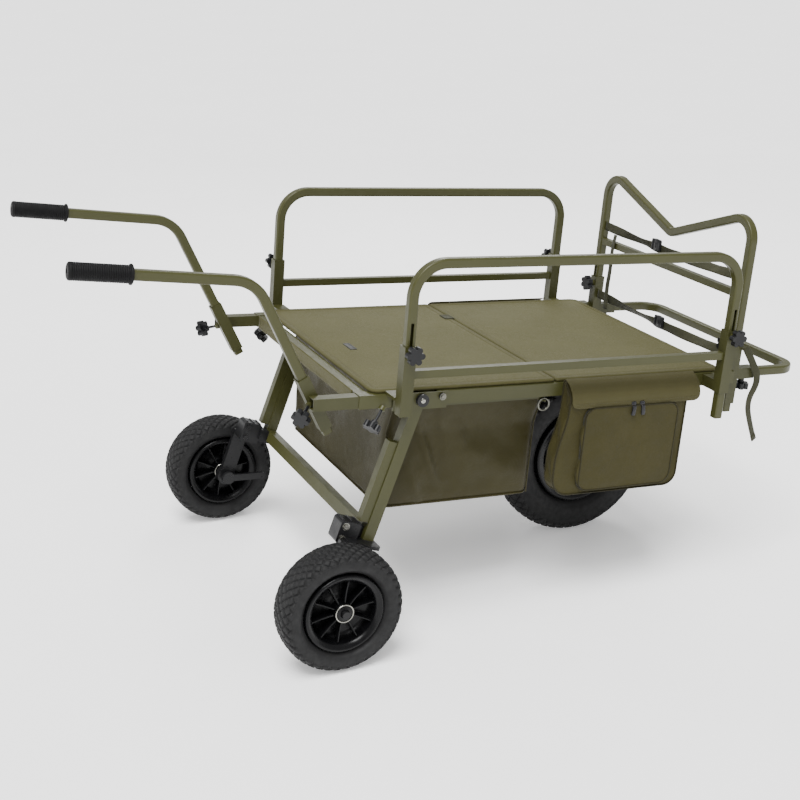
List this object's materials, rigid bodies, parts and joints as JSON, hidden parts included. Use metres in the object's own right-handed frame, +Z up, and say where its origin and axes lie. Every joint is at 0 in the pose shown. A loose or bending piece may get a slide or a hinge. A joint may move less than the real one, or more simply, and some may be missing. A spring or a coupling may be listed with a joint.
{
  "type": "fishing barrow",
  "caption": "Wheeled fishing barrow with folding rear legs, telescopic push handles, sliding side rails and end panel, hinged fabric deck, slung bag and side pockets.",
  "frame": {"origin": "on the ground, below the centre of the bounding box of the standing barrow", "axes": "+X forward, away from the handles; +Y to the left; +Z up"},
  "size_m": [1.6671, 0.863, 0.8501],
  "materials": {
    "olive_paint": "satin powder coat",
    "black_casting": "glass-filled nylon casting, fine texture",
    "black_steel": "black oxide",
    "plated_steel": "bright plated",
    "knob_plastic": "moulded nylon",
    "grip_rubber": "ribbed rubber",
    "tyre_foam": "matte rubber",
    "rim_plastic": "moulded nylon",
    "deck_fabric": "coated heavy polyester",
    "bag_fabric": "coated heavy polyester",
    "pocket_fabric": "coated heavy polyester",
    "webbing": "woven strap"
  },
  "bodies": {
    "chassis": {"side_beam_left": "olive_paint", "side_beam_right": "olive_paint", "cross_tubes": "olive_paint", "edge_bars": "olive_paint", "rail_brackets": "olive_paint", "front_fork": "olive_paint", "front_axle": "plated_steel", "rail_sleeves": "olive_paint", "end_sleeve_left": "olive_paint", "end_sleeve_right": "olive_paint", "leg_pivot_bolts": "black_steel", "lid_end_flap": "bag_fabric", "under_bag": "bag_fabric", "side_pocket_left": "pocket_fabric", "side_pocket_right": "pocket_fabric", "lower_strap": "webbing", "lower_buckle": "knob_plastic", "strap_tail_near": "webbing"},
    "front_wheel": {"front_tyre": "tyre_foam", "front_rim": "rim_plastic"},
    "leg_frame": {"rear_legs": "olive_paint", "leg_cross_tube": "olive_paint", "wheel_bracket_left": "black_casting", "wheel_bracket_right": "black_casting"},
    "end_panel": {"end_panel": "olive_paint", "end_panel_bar": "olive_paint", "upper_strap": "webbing", "upper_buckle": "knob_plastic", "strap_tail_far": "webbing"},
    "front_extension": {"front_extension": "olive_paint"},
    "lid_rear": {"lid_rear": "deck_fabric"},
    "lid_front": {"lid_front": "deck_fabric"},
    "rear_wheel_left": {"rear_tyre_left": "tyre_foam", "rear_rim_left": "rim_plastic"},
    "release_lever_left": {"release_lever_left": "black_casting"},
    "carrier_left": {"carrier_left": "olive_paint"},
    "handle_left": {"handle_tube_left": "olive_paint", "grip_left": "grip_rubber"},
    "side_rail_left": {"side_rail_left": "olive_paint"},
    "d_ring_left": {"d_ring_left": "plated_steel"},
    "rear_wheel_right": {"rear_tyre_right": "tyre_foam", "rear_rim_right": "rim_plastic"},
    "release_lever_right": {"release_lever_right": "black_casting"},
    "carrier_right": {"carrier_right": "olive_paint"},
    "handle_right": {"handle_tube_right": "olive_paint", "grip_right": "grip_rubber"},
    "side_rail_right": {"side_rail_right": "olive_paint"},
    "d_ring_right": {"d_ring_right": "plated_steel"},
    "carrier_knob_left": {"carrier_knob_left": "knob_plastic"},
    "carrier_knob_right": {"carrier_knob_right": "knob_plastic"},
    "rail_knob_rear_left": {"rail_knob_rear_left": "knob_plastic"},
    "rail_knob_rear_right": {"rail_knob_rear_right": "knob_plastic"},
    "rail_knob_front_left": {"rail_knob_front_left": "knob_plastic"},
    "rail_knob_front_right": {"rail_knob_front_right": "knob_plastic"},
    "panel_knob_left": {"panel_knob_left": "knob_plastic"},
    "panel_knob_right": {"panel_knob_right": "knob_plastic"},
    "extension_knob_left": {"extension_knob_left": "knob_plastic"},
    "extension_knob_right": {"extension_knob_right": "knob_plastic"},
    "handle_knob_left": {"handle_knob_left": "knob_plastic"},
    "handle_knob_right": {"handle_knob_right": "knob_plastic"}
  },
  "joints": [
    {"name": "front_wheel_spin", "type": "hinge", "parent": "chassis", "child": "front_wheel", "pos_m": [0.40484, 0, 0.2], "axis": [0, 1, 0], "continuous": true},
    {"name": "leg_fold", "type": "hinge", "parent": "chassis", "child": "leg_frame", "pos_m": [-0.15883, 0, 0.51382], "axis": [0, -1, 0], "range_deg": [0, 36]},
    {"name": "rear_wheel_spin_left", "type": "hinge", "parent": "leg_frame", "child": "rear_wheel_left", "pos_m": [-0.36829, 0.389, 0.13003], "axis": [0, 1, 0], "continuous": true},
    {"name": "release_lever_turn_left", "type": "hinge", "parent": "leg_frame", "child": "release_lever_left", "pos_m": [-0.36829, 0.311, 0.13003], "axis": [0, -1, 0], "range_deg": [0, 60]},
    {"name": "carrier_slide_left", "type": "slide", "parent": "chassis", "child": "carrier_left", "axis": [0.9974, 0, -0.0727], "range_m": [-0.05, 0.012]},
    {"name": "handle_slide_left", "type": "slide", "parent": "carrier_left", "child": "handle_left", "axis": [-0.404, 0, 0.9147], "range_m": [-0.03, 0.06]},
    {"name": "side_rail_slide_left", "type": "slide", "parent": "chassis", "child": "side_rail_left", "axis": [0.0727, 0, 0.9974], "range_m": [-0.048, 0.06]},
    {"name": "d_ring_swing_left", "type": "hinge", "parent": "chassis", "child": "d_ring_left", "pos_m": [0.13201, 0.308, 0.47356], "axis": [0.9974, 0, -0.0727], "range_deg": [0, 60]},
    {"name": "rear_wheel_spin_right", "type": "hinge", "parent": "leg_frame", "child": "rear_wheel_right", "pos_m": [-0.36829, -0.389, 0.13003], "axis": [0, 1, 0], "continuous": true},
    {"name": "release_lever_turn_right", "type": "hinge", "parent": "leg_frame", "child": "release_lever_right", "pos_m": [-0.36829, -0.311, 0.13003], "axis": [0, -1, 0], "range_deg": [0, 60]},
    {"name": "carrier_slide_right", "type": "slide", "parent": "chassis", "child": "carrier_right", "axis": [0.9974, 0, -0.0727], "range_m": [-0.05, 0.012]},
    {"name": "handle_slide_right", "type": "slide", "parent": "carrier_right", "child": "handle_right", "axis": [-0.404, 0, 0.9147], "range_m": [-0.03, 0.06]},
    {"name": "side_rail_slide_right", "type": "slide", "parent": "chassis", "child": "side_rail_right", "axis": [0.0727, 0, 0.9974], "range_m": [-0.048, 0.06]},
    {"name": "d_ring_swing_right", "type": "hinge", "parent": "chassis", "child": "d_ring_right", "pos_m": [0.13201, -0.308, 0.47356], "axis": [-0.9974, 0, 0.0727], "range_deg": [0, 60]},
    {"name": "end_panel_slide", "type": "slide", "parent": "chassis", "child": "end_panel", "axis": [0.0727, 0, 0.9974], "range_m": [-0.05, 0.05]},
    {"name": "extension_slide", "type": "slide", "parent": "chassis", "child": "front_extension", "axis": [0.9974, 0, -0.0727], "range_m": [0, 0.025]},
    {"name": "lid_rear_hinge", "type": "hinge", "parent": "chassis", "child": "lid_rear", "pos_m": [-0.26543, 0, 0.53693], "axis": [0, -1, 0], "range_deg": [0, 88]},
    {"name": "lid_front_hinge", "type": "hinge", "parent": "chassis", "child": "lid_front", "pos_m": [0.5883, 0, 0.47469], "axis": [0, 1, 0], "range_deg": [0, 88]},
    {"name": "carrier_knob_left_turn", "type": "hinge", "parent": "chassis", "child": "carrier_knob_left", "pos_m": [-0.24326, 0.314, 0.50694], "axis": [-0.6465, 0.3101, -0.697], "range_deg": [0, 180]},
    {"name": "carrier_knob_right_turn", "type": "hinge", "parent": "chassis", "child": "carrier_knob_right", "pos_m": [-0.24326, -0.314, 0.50694], "axis": [-0.6465, -0.3101, -0.697], "range_deg": [0, 180]},
    {"name": "rail_knob_rear_left_turn", "type": "hinge", "parent": "chassis", "child": "rail_knob_rear_left", "pos_m": [-0.21308, 0.3765, 0.63609], "axis": [0, 1, 0], "range_deg": [0, 180]},
    {"name": "rail_knob_rear_right_turn", "type": "hinge", "parent": "chassis", "child": "rail_knob_rear_right", "pos_m": [-0.21308, -0.3765, 0.63609], "axis": [0, -1, 0], "range_deg": [0, 180]},
    {"name": "rail_knob_front_left_turn", "type": "hinge", "parent": "chassis", "child": "rail_knob_front_left", "pos_m": [0.55488, 0.3765, 0.5801], "axis": [0, 1, 0], "range_deg": [0, 180]},
    {"name": "rail_knob_front_right_turn", "type": "hinge", "parent": "chassis", "child": "rail_knob_front_right", "pos_m": [0.55488, -0.3765, 0.5801], "axis": [0, -1, 0], "range_deg": [0, 180]},
    {"name": "panel_knob_left_turn", "type": "hinge", "parent": "chassis", "child": "panel_knob_left", "pos_m": [0.62669, 0.285, 0.52673], "axis": [-0.9974, 0, 0.0727], "range_deg": [0, 180]},
    {"name": "panel_knob_right_turn", "type": "hinge", "parent": "chassis", "child": "panel_knob_right", "pos_m": [0.62669, -0.285, 0.52673], "axis": [-0.9974, 0, 0.0727], "range_deg": [0, 180]},
    {"name": "extension_knob_left_turn", "type": "hinge", "parent": "chassis", "child": "extension_knob_left", "pos_m": [0.66774, 0.285, 0.44353], "axis": [-0.0727, 0, -0.9974], "range_deg": [0, 180]},
    {"name": "extension_knob_right_turn", "type": "hinge", "parent": "chassis", "child": "extension_knob_right", "pos_m": [0.66774, -0.285, 0.44353], "axis": [-0.0727, 0, -0.9974], "range_deg": [0, 180]},
    {"name": "handle_knob_left_turn", "type": "hinge", "parent": "carrier_left", "child": "handle_knob_left", "pos_m": [-0.38893, 0.2876, 0.52453], "axis": [-0.6468, 0.7071, -0.2857], "range_deg": [0, 180]},
    {"name": "handle_knob_right_turn", "type": "hinge", "parent": "carrier_right", "child": "handle_knob_right", "pos_m": [-0.38893, -0.2876, 0.52453], "axis": [-0.6468, -0.7071, -0.2857], "range_deg": [0, 180]}
  ]
}
